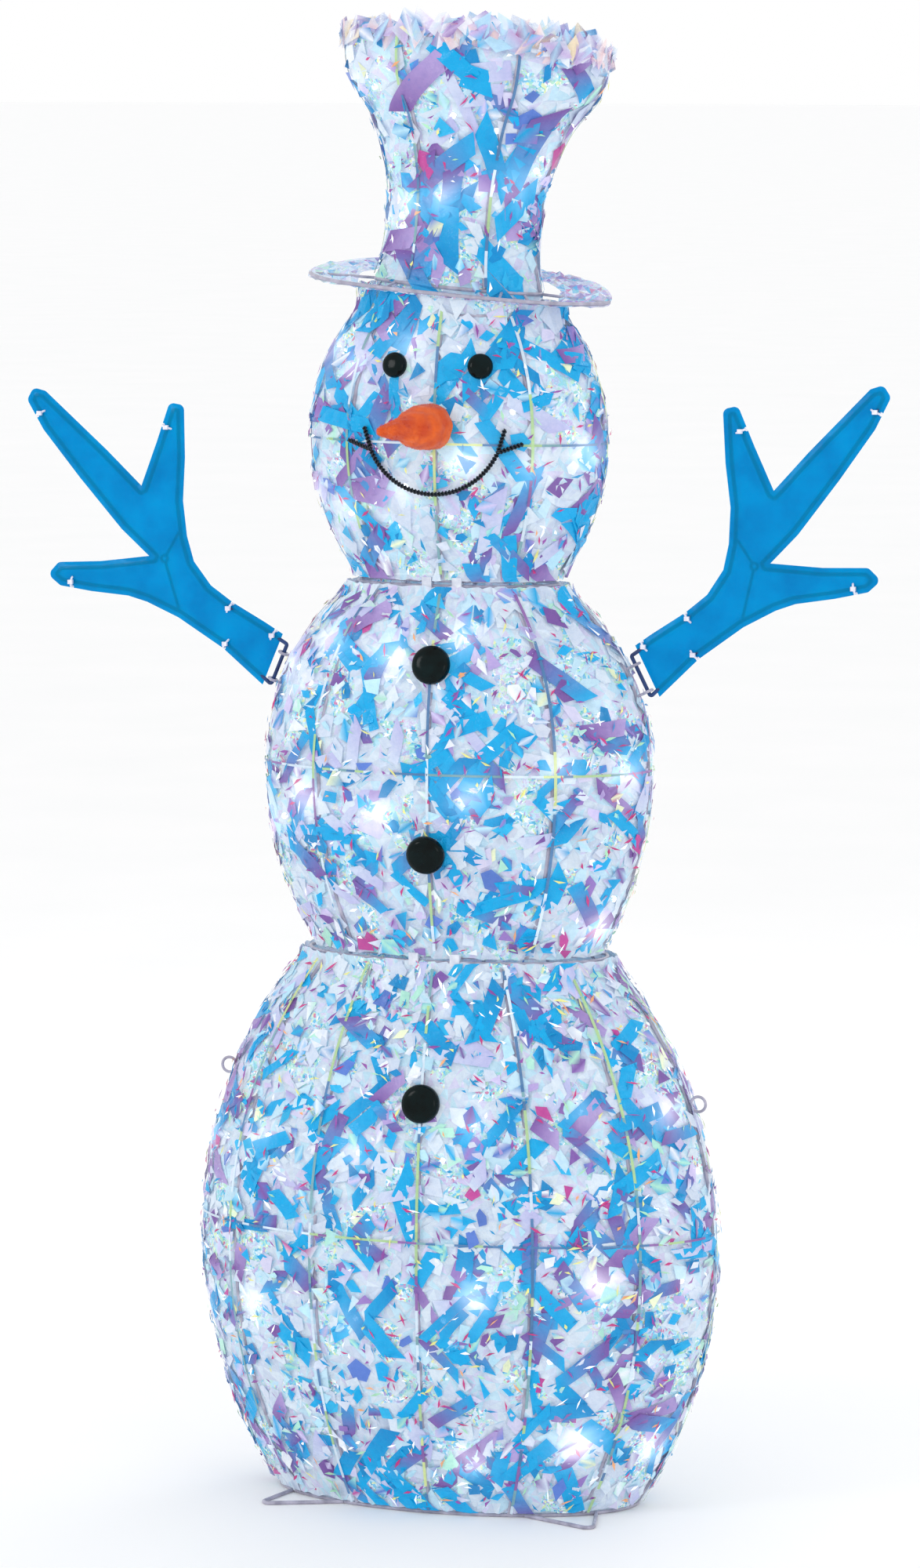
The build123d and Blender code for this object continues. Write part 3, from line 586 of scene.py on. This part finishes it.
    def shard(self, u, t, size, rise, tint, opacity, other=None):
        """A flat or folded scrap with three to five corners."""
        rng = self.rng
        count = rng.choice((3, 4, 4, 5))
        turn = rng.uniform(0, 2 * math.pi)
        stretch = rng.uniform(0.4, 0.9)
        outline = []
        for index in range(count):
            angle = 2 * math.pi * (index + rng.uniform(-0.28, 0.28)) / count
            outline.append((size * math.cos(angle), size * stretch * math.sin(angle)))
        outs = [rise * rng.random() - 0.0008 for _ in range(count)]
        base = self.outline_points(u, t, outline, turn, outs)
        tints = [tint if index % 2 or other is None else other for index in range(count)]
        for index in range(1, count - 1):
            picked = [tints[0], tints[index], tints[index + 1]]
            self.face((base, base + index, base + index + 1), picked, opacity)

    def sliver(self, u, t, length, width, lift):
        """A thin fold line in one of many tints; the white ones are painted glints."""
        rng = self.rng
        tint = pick(rng, SLIVER_AND_GLINT_TINTS)
        outline = [(-length / 2, 0), (0, -width / 2), (length / 2, rng.uniform(-1, 1) * width),
                   (0, width / 2)]
        outs = [lift + rng.uniform(0, 0.0015) for _ in range(4)]
        base = self.outline_points(u, t, outline, rng.uniform(0, math.pi), outs)
        # White slivers are painted glints and get a painted glow of 0.35.
        self.face((base, base + 1, base + 2, base + 3), tint, 0.96, 0.0, 0.35 if min(tint) > 0.8 else 0.04)

    def crease(self, path, width=0.0030):
        """A line of taut film over a wire, broken where scraps cover it, tinted mostly with painted shade
        and painted reflections of the wire.
        """
        rng, shell = self.rng, self.shell
        skip, tint = 0, pick(rng, CREASE_SHADE_AND_REFLECTION_TINTS)
        for (u, t), (u2, t2) in zip(path, path[1:]):
            if rng.random() < 0.35:
                tint = pick(rng, CREASE_SHADE_AND_REFLECTION_TINTS)
                skip = rng.choice((0, 0, 0, 1, 2))
            skip -= 1
            if skip > 0:
                continue
            start, end = shell.on(u, t), shell.on(u2, t2)
            across = (end - start).cross(shell.place(u, t, 0.01) - start).normalized() * width / 2
            base = len(self.vertices)
            for (here_u, here_t), side in (((u, t), -1), ((u, t), 1), ((u2, t2), 1), ((u2, t2), -1)):
                self.vertices.append(shell.place(here_u, here_t, 0.0016) + across * side)
            self.face((base, base + 1, base + 2, base + 3), tint, 0.92)

    def creases(self, ribs, levels):
        """Creases over the ribs, given by compass direction, and over the hoops, by height."""
        shell = self.shell
        steps = round(shell.height / 0.009)
        for turn in ribs:
            self.crease([(shell.u_at(turn, step / steps), step / steps) for step in range(steps + 1)])
        for level in levels:
            count = round(shell.girth(level) / 0.010)
            self.crease([(step / count, level) for step in range(count + 1)], 0.0024)

    def cover(self, low, high, ribs, levels, size=1.0):
        """Skin, calm and coloured scraps, crossing ribbons, creases and slivers."""
        rng, shell = self.rng, self.shell
        self.span = (low, high)
        area = shell.height * (high - low) * shell.girth(0.5) / size ** 2
        self.skin(0.0095, low, high)

        def somewhere(edge=0.012):
            return rng.random(), rng.uniform(low + edge, high - edge)

        for _ in range(round(area / 0.00105)):
            u, t = somewhere()
            self.shard(u, t, size * rng.uniform(0.009, 0.017), 0.0012, pick(rng, CALM_TINTS, 0.04), 0.94)
        for _ in range(round(area / 0.00055)):
            u, t = somewhere()
            other = pick(rng, self.tints_at(u)) if rng.random() < 0.4 else None
            self.shard(u, t, size * rng.uniform(0.006, 0.014), rng.uniform(0.001, 0.004),
                       pick(rng, self.tints_at(u)), 0.94, other)
        for _ in range(round(self.blueness * area / 0.0032)):
            u, t = somewhere(0.03)
            self.crossed_ribbons(u, t, size)
        for _ in range(round(area / 0.0017)):
            u, t = somewhere()
            self.shard(u, t, size * rng.uniform(0.005, 0.011), rng.uniform(0.002, 0.005),
                       pick(rng, self.tints_at(u)), 0.96, pick(rng, PALE_TINTS))
        self.creases(ribs, levels)
        for _ in range(round(area / 0.00042)):
            u, t = somewhere()
            self.sliver(u, t, rng.uniform(0.005, 0.016), rng.uniform(0.0014, 0.0034),
                        rng.uniform(0.001, 0.003))

    def crossed_ribbons(self, u, t, size):
        """One ribbon, or two that meet at an angle."""
        rng = self.rng
        heading = math.radians(rng.choice((50, -50, 40, -40, 12, 75)) + rng.uniform(-12, 12))
        # More blue ribbons towards the front and fewer purple ones: painted iridescence fixed by side.
        front = facing(u, FRONT_PEAK)
        for way in ((heading,) if rng.random() < 0.5 else (heading, -heading)):
            ends = rng.choices(((BLUE, BLUE), (BLUE, DEEP_BLUE), (BLUE, PURPLE), (PURPLE, BLUE),
                                (PURPLE, (0.44, 0.34, 0.66)), ((0.60, 0.68, 0.84), (0.50, 0.50, 0.78))),
                               (5 + 4 * front, 3 + 2 * front, 4, 3, 4 - 2 * front, 3))[0]
            self.ribbon(u, t, way, size * rng.uniform(0.024, 0.066), size * rng.uniform(0.009, 0.019),
                        rng.uniform(-0.0006, 0.0016), [Vector(end) for end in ends], 0.95)

    def piece(self, name, body):
        """The piece made of all the facets, with their tint and light."""
        piece = new_piece(name, body, film_look, self.vertices, self.faces, smooth=False)
        for layer, values in (("tint", self.tints), ("light", self.lights)):
            attribute = piece.data.color_attributes.new(layer, "FLOAT_COLOR", "CORNER")
            attribute.data.foreach_set("color", values)
        return piece


def rib_turns(angles, ratio):
    """Compass directions of ribs that are spaced on an oval of the given depth ratio."""
    return [math.atan2(math.sin(math.radians(angle)), ratio * math.cos(math.radians(angle)))
            for angle in angles]


TIER_RIBS = {"lower": (0, 25, 52, 90, 128, 155, 180, -155, -128, -90, -52, -25),
             "middle": (0, 38, 90, 142, 180, -142, -90, -38),
             "head": (0, 38, 90, 142, 180, -142, -90, -38)}


def tier_film(name, seed):
    """Film of a tier, over its CAD film nodes."""
    film = [f"{name}_film_front", f"{name}_film_back"]
    low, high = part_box(film[0])
    shell = Shell(film, Vector((0, 0, low[2])), Vector((0, 0, high[2])), (high[0] - low[0]) / 2,
                  lean=0.045 if name == "head" else 0.0)
    cage = world_tree([f"{name}_ribs", f"{name}_hoop"])
    blueness, size = (1.7, 1.15) if name == "head" else (1.1, 1.0)
    work = Film(shell, cage, lamp_places(f"{name}_bulbs"), random.Random(seed), blueness=blueness)
    hoop = (middle(f"{name}_hoop").z - low[2]) / shell.height
    over_top = 0.0165 if name == "head" else 0.0072
    over_foot = 0.0 if name == "lower" else 0.0072
    work.cover(-over_foot / shell.height, 1 + over_top / shell.height,
               rib_turns(TIER_RIBS[name], 0.5), (hoop,), size)
    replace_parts(work.piece(f"{name}_film", name), *film)


def crown_film():
    """Film of the hat's crown, with a ruffled edge above the arched top wire."""
    foot, top = middle("crown_base_ring"), middle("crown_top_ring")
    up = (top - foot).normalized()
    low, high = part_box("crown_film")
    half_length = (high[0] - low[0]) / 2
    shell = Shell(["crown_film"], foot + up * 0.0044, foot + up * 0.2475, half_length, arch=0.070)
    cage = world_tree(["crown_ribs", "crown_top_ring"])
    rng = random.Random(21)
    work = Film(shell, cage, lamp_places("crown_bulbs"), rng, shine=0.55, blueness=2.2)
    work.cover(-0.040, 0.985, rib_turns((27, 90, 153, -153, -90, -27), 0.5), (), 1.2)
    work.span = (0.9, 1.06)
    for _ in range(190):
        tints = rng.choice((PALE_TINTS, PALE_TINTS, PURPLE_TINTS, BLUE_TINTS, RUFFLE_TINTS))
        work.shard(rng.random(), rng.uniform(0.955, 1.01), rng.uniform(0.009, 0.018),
                   rng.uniform(0.003, 0.008), pick(rng, tints), rng.uniform(0.6, 0.9),
                   pick(rng, RUFFLE_TINTS))
    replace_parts(work.piece("crown_film_cover", "head"), "crown_film")


def brim_reach(tree, turn):
    """Places on the brim's inner and outer edge in one direction of the plan.

    The gap between the two halves, at the tips, is stepped over.
    """
    for nudge in (0.0, 0.02, -0.02, 0.04, -0.04, 0.08, -0.08):
        way = Vector((math.sin(turn + nudge), -math.cos(turn + nudge)))
        found = []
        for step in range(40, 180):
            spot = Vector((way.x * step / 1000, way.y * step / 1000, 1.4))
            hit = tree.ray_cast(spot, Vector((0, 0, -1)), 0.3)
            if hit[0]:
                found.append(hit[0])
        if len(found) > 4:
            return found[0], found[-1]


def brim_film():
    """Crinkled film of the hat's brim, stretched over both halves of the bent wire."""
    tree = world_tree(["brim_film"])
    rng = random.Random(33)
    work = Film(None, None, [], rng)
    rows, columns = 9, 132
    for column in range(columns):
        turn = 2 * math.pi * (column + 0.5) / columns
        inner, outer = brim_reach(tree, turn)
        for row in range(rows):
            loose = 0.3 if 0 < row < rows - 1 else 0.0
            place = inner.lerp(outer, (row + rng.uniform(-loose, loose)) / (rows - 1))
            lift = rng.uniform(-0.0024, 0.0036) if loose else rng.uniform(-0.0012, 0.0006)
            work.vertices.append(place + Vector((0, 0, lift)))
    for row in range(rows - 1):
        for column in range(columns):
            a, b = column * rows + row, (column + 1) % columns * rows + row
            c, d = b + 1, a + 1
            # Pale tints towards -x and purple tints towards +x: painted iridescence fixed by side.
            tints = BRIM_PALE if work.vertices[a].x / 0.16 < rng.uniform(-0.9, 0.6) else BRIM_PURPLE
            for corners in (((a, b, c), (a, c, d)) if rng.random() < 0.5 else ((a, b, d), (b, c, d))):
                work.face(corners, pick(rng, tints), rng.uniform(0.82, 0.96), 0.35)
    piece = work.piece("brim_film_sheet", "head")
    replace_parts(piece, "brim_film")


for number, tier in enumerate(("lower", "middle", "head")):
    tier_film(tier, 11 + number)
crown_film()
brim_film()


# ------------------------------------------------------------------ arms
def front_outline(name):
    """Outline of an arm's front film, as (x, z) points in order."""
    mesh = nodes[name].data
    edges = {}
    for face in mesh.polygons:
        if face.normal.y < -0.9 and face.center.y < -0.0027:
            corners = [mesh.vertices[index].co for index in face.vertices]
            loop = [(round(corner.x, 6), round(corner.z, 6)) for corner in corners]
            for start, end in zip(loop, loop[1:] + loop[:1]):
                if (end, start) in edges:
                    del edges[(end, start)]
                else:
                    edges[(start, end)] = True
    following = {start: end for start, end in edges}
    begin = next(iter(following))
    outline, here = [begin], following[begin]
    while here != begin:
        outline.append(here)
        here = following[here]
    return [Vector(point) for point in outline]


def even_outline(outline, step):
    """The outline with its long sides divided."""
    points = []
    for start, end in zip(outline, outline[1:] + outline[:1]):
        count = max(1, round((end - start).length / step))
        points.extend(start.lerp(end, index / count) for index in range(count))
    return points


def edge_distance(point, outline):
    """Distance to the outline, below 0 outside it."""
    inside, nearest = False, 1.0
    for start, end in zip(outline, outline[1:] + outline[:1]):
        if (start.y > point.y) != (end.y > point.y):
            if point.x < start.x + (point.y - start.y) * (end.x - start.x) / (end.y - start.y):
                inside = not inside
        run = end - start
        part = max(0.0, min(1.0, (point - start).dot(run) / max(1e-12, run.length_squared)))
        nearest = min(nearest, (start + run * part - point).length)
    return nearest if inside else -nearest


def arm_film(side):
    """Two leaves of blue film, sealed at the edge round the arm's wire."""
    rough = front_outline(f"{side}_arm_film")
    outline = even_outline(rough, 0.005)
    low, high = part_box(f"{side}_arm_film")
    cell = 0.0065
    points = list(outline)
    row = 0
    z = low[2]
    while z < high[2]:
        x = low[0] + cell / 2 * (row % 2)
        while x < high[0]:
            point = Vector((x, z))
            if edge_distance(point, rough) > cell * 0.5:
                points.append(point)
            x += cell
        z += cell * 0.87
        row += 1
    result = geometry.delaunay_2d_cdt(points, [], [list(range(len(outline)))], 1, 1e-7)
    flat, triangles = result[0], result[2]
    vertices, faces, area = [], [], 0.0
    for leaf in (-1, 1):
        base = len(vertices)
        for point in flat:
            edge = max(0.0, min(1.0, edge_distance(Vector(point), rough) / 0.0050))
            puff = edge * edge * (3 - 2 * edge)
            spot = Vector((point[0], leaf * 0.1, point[1]))
            wave = noise.noise(spot * 26.0) * 0.5 + noise.noise(spot * 75.0) * 0.25
            vertices.append((point[0], leaf * (0.0004 + puff * (0.0027 + 0.0009 * wave)), point[1]))
        for triangle in triangles:
            a, b, c = (Vector(flat[index]) for index in triangle)
            turn = (b - a).cross(c - a)
            area += abs(turn) / 2
            order = list(triangle) if (turn > 0) == (leaf < 0) else list(triangle)[::-1]
            faces.append([base + index for index in order])
    piece = new_piece(f"{side}_arm_film_leaves", f"{side}_arm", arm_look, vertices, faces)
    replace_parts(piece, f"{side}_arm_film")
    turn = geometry.box_fit_2d(outline)


for side in ("left", "right"):
    arm_film(side)


# ------------------------------------------------------------------ nose and mouth
def ring_middle(mesh, y, reach=0.004):
    """Middle of the vertices of a mesh that lie near one depth."""
    ring = [vertex.co for vertex in mesh.vertices if abs(vertex.co.y - y) < reach]
    return sum(ring, Vector()) / len(ring)


def plush_nose():
    """Stuffed felt carrot: a gathered collar, a round seat, soft folds, a blunt tip and short nap."""
    mesh = nodes["nose"].data
    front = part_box("nose")[0][1]
    tip, thick = ring_middle(mesh, front), ring_middle(mesh, front + 0.088)
    axis = (tip - thick).normalized()
    tip += axis * (front - tip.y) / axis.y
    offsets = [tip - vertex.co for vertex in mesh.vertices]
    collar = 0.006
    length = collar + max(offset.dot(axis) for offset in offsets
                          if (offset - axis * offset.dot(axis)).length > 0.010)
    stalk = tip - axis * length
    side = axis.cross(Vector((0, 0, 1))).normalized()
    upward = side.cross(axis)
    tree = world_tree(["nose"])
    rng = random.Random(5)
    rows, columns = 66, 72
    blunt = 60
    vertices, widest = [], [0.0] * columns
    for row in range(rows + 1):
        along = length * row / rows
        for column in range(columns):
            angle = 2 * math.pi * column / columns
            way = side * math.cos(angle) + upward * math.sin(angle)
            hit = tree.ray_cast(stalk + axis * along + way * 0.06, -way, 0.06)
            reach = 0.06 - hit[3] if hit[0] else 0.0
            taper = 0.0040 + 0.0195 * min(1.0, (1 - row / rows) / 0.85)
            if along < collar:
                reach = 0.010
            elif row <= blunt:
                reach = max(reach, taper)
                widest[column] = reach
            else:
                reach = widest[column] * math.sqrt(1 - ((row - blunt) / (rows - blunt)) ** 2)
            fold = 0.0011 * math.sin(3 * angle + 14 * row / rows) * math.sin(math.pi * row / rows) ** 2
            spot = Vector((math.cos(angle) * 2.2, math.sin(angle) * 2.2, row / 7.0))
            soft = 0.0013 * noise.noise(spot) * min(1.0, reach / 0.015)
            reach = max(0.0, reach * 0.985 + min(0.0, fold) + soft - 0.0004)
            vertices.append(stalk + axis * along + way * reach)
    faces = []
    for row in range(rows):
        for column in range(columns):
            following = (column + 1) % columns
            a, b = row * columns + column, row * columns + following
            faces.append((a, b, b + columns, a + columns))
    faces.append(list(range(columns))[::-1])
    faces.append([rows * columns + column for column in range(columns)])
    body_vertices = len(vertices)
    for _ in range(5200):
        index = rng.randrange(columns, body_vertices - columns)
        row, column = divmod(index, columns)
        if (vertices[index] - stalk - axis * (vertices[index] - stalk).dot(axis)).length < 0.002:
            continue
        here = vertices[index].lerp(vertices[row * columns + (column + 1) % columns], rng.random())
        out = (here - stalk - axis * (here - stalk).dot(axis)).normalized()
        lean = (out + axis * rng.uniform(0.1, 0.9) + side * rng.uniform(-0.5, 0.5)
                + upward * rng.uniform(-0.5, 0.5)).normalized()
        across = lean.cross(out).normalized() * 0.00014
        base = len(vertices)
        vertices.extend((here - across, here + across, here + lean * rng.uniform(0.0007, 0.0015)))
        faces.append((base, base + 1, base + 2))
    piece = new_piece("plush_nose", "head", nose_plush, vertices, faces)
    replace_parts(piece, "nose")


def mouth_path(stations):
    """Middle of the CAD mouth wire in front of each (x, z) station."""
    tree = world_tree(["mouth"])
    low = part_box("mouth")[0]
    places, last = [], None
    for x, z in stations:
        hit = tree.ray_cast(Vector((x, low[1] - 0.02, z)), Vector((0, 1, 0)), 0.08)
        depth = hit[0].y + 0.0030 if hit[0] else (last if last is not None else low[1] + 0.01)
        last = depth
        places.append(Vector((x, depth, z)))
    for _ in range(3):
        for index in range(1, len(places) - 1):
            places[index].y = (places[index - 1].y + places[index].y * 2 + places[index + 1].y) / 4
    return places


def twisted_strand(path, phase, vertices, faces, pitch=0.0074, radius=0.00145, twist=0.00125):
    """One strand of the twisted cord, added as a tube with closed ends."""
    sides = 8
    run, rings = 0.0, 0
    base = len(vertices)
    for index, place in enumerate(path):
        before, after = path[max(0, index - 1)], path[min(len(path) - 1, index + 1)]
        along = (after - before).normalized()
        if index:
            run += (place - path[index - 1]).length
        across = along.cross(Vector((0, 1, 0))).normalized()
        out = along.cross(across)
        turn = phase + 2 * math.pi * run / pitch
        centre = place + (across * math.cos(turn) + out * math.sin(turn)) * twist
        end = min(1.0, 0.55 + 0.15 * min(index, len(path) - 1 - index))
        for side_index in range(sides):
            angle = 2 * math.pi * side_index / sides
            vertices.append(centre + (across * math.cos(angle) + out * math.sin(angle)) * radius * end)
        rings += 1
    for ring in range(rings - 1):
        for side_index in range(sides):
            following = (side_index + 1) % sides
            a, b = base + ring * sides + side_index, base + ring * sides + following
            faces.append((a, b, b + sides, a + sides))
    faces.append([base + index for index in range(sides)][::-1])
    faces.append([base + (rings - 1) * sides + index for index in range(sides)])


def cord_mouth():
    """Smile of twisted black cord, forked at both ends."""
    left, low, right = Vector((-0.069, 1.095)), Vector((-0.001, 1.051)), Vector((0.066, 1.094))
    half, sag = (right.x - left.x) / 2, (left.y + right.y) / 2 - low.y
    radius = (half * half + sag * sag) / (2 * sag)
    centre = Vector(((left.x + right.x) / 2, low.y + radius))
    angles = [math.atan2(end.x - centre.x, centre.y - end.y) for end in (left, right)]
    stations = []
    for step in range(241):
        angle = angles[0] + (angles[1] - angles[0]) * step / 240
        stations.append((centre.x + radius * math.sin(angle), centre.y - radius * math.cos(angle)))
    vertices, faces = [], []
    paths = [mouth_path(stations)]
    forks = ((left, (-0.077, 1.118)), (left, (-0.096, 1.104)),
             (right, (0.073, 1.118)), (right, (0.091, 1.103)))
    for start, end in forks:
        prong = [start.lerp(Vector(end), step / 40) for step in range(41)]
        paths.append(mouth_path([(point.x, point.y) for point in prong]))
    for path in paths:
        for phase in (0.0, math.pi):
            twisted_strand(path, phase, vertices, faces)
    piece = new_piece("cord_mouth", "head", mouth_cord, vertices, faces)
    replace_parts(piece, "mouth")


plush_nose()
cord_mouth()


# ------------------------------------------------------------------ stage, light and camera
def stage():
    """Plain pale floor that reaches beyond the view."""
    mesh = bpy.data.meshes.new("floor")
    mesh.from_pydata([(-130, -130, 0), (130, -130, 0), (130, 130, 0), (-130, 130, 0)], [], [(0, 1, 2, 3)])
    floor = bpy.data.objects.new("floor", mesh)
    bpy.context.scene.collection.objects.link(floor)
    paint = mottled("floor_paint", (0.96, 0.965, 0.97), (0.98, 0.98, 0.985), 3, (0.7, 0.8), 300, 0.0002)
    mesh.materials.append(paint)


def soft_box(name, place, target, size, power):
    """Square area light that faces a target."""
    data = bpy.data.lights.new(name, "AREA")
    data.shape, data.size, data.energy = "SQUARE", size, power
    light = bpy.data.objects.new(name, data)
    light.location = place
    light.rotation_euler = (Vector(target) - Vector(place)).to_track_quat("-Z", "Y").to_euler()
    bpy.context.scene.collection.objects.link(light)


def light_the_scene():
    """Even white surroundings with three weak soft boxes."""
    world = bpy.context.scene.world or bpy.data.worlds.new("World")
    bpy.context.scene.world = world
    world.use_nodes = True
    world.node_tree.nodes["Background"].inputs["Color"].default_value = (1.0, 1.0, 1.0, 1)
    world.node_tree.nodes["Background"].inputs["Strength"].default_value = 1.0
    soft_box("key", (-2.2, -2.8, 2.4), (0, 0, 0.9), 0.9, 14)
    soft_box("fill", (2.8, -2.2, 1.2), (0, 0, 0.7), 1.2, 7)
    soft_box("rim", (0.8, 2.8, 2.4), (0, 0, 0.9), 1.6, 10)
    bpy.context.scene.view_settings.view_transform = "Standard"


def place_camera():
    """Camera a little to the figure's right, above its middle."""
    data = bpy.data.cameras.new("camera")
    camera = bpy.data.objects.new("camera", data)
    bpy.context.scene.collection.objects.link(camera)
    bpy.context.scene.camera = camera
    azimuth, distance, eye_height = math.radians(17.5), 6.08, 1.507
    camera.location = (distance * math.sin(azimuth), -distance * math.cos(azimuth), eye_height)
    aim = Vector((0, 0, 0.746))
    camera.rotation_euler = (aim - camera.location).to_track_quat("-Z", "Y").to_euler()
    data.lens, data.sensor_width, data.shift_x = 136.5, 36.0, 0.001


stage()
light_the_scene()
place_camera()
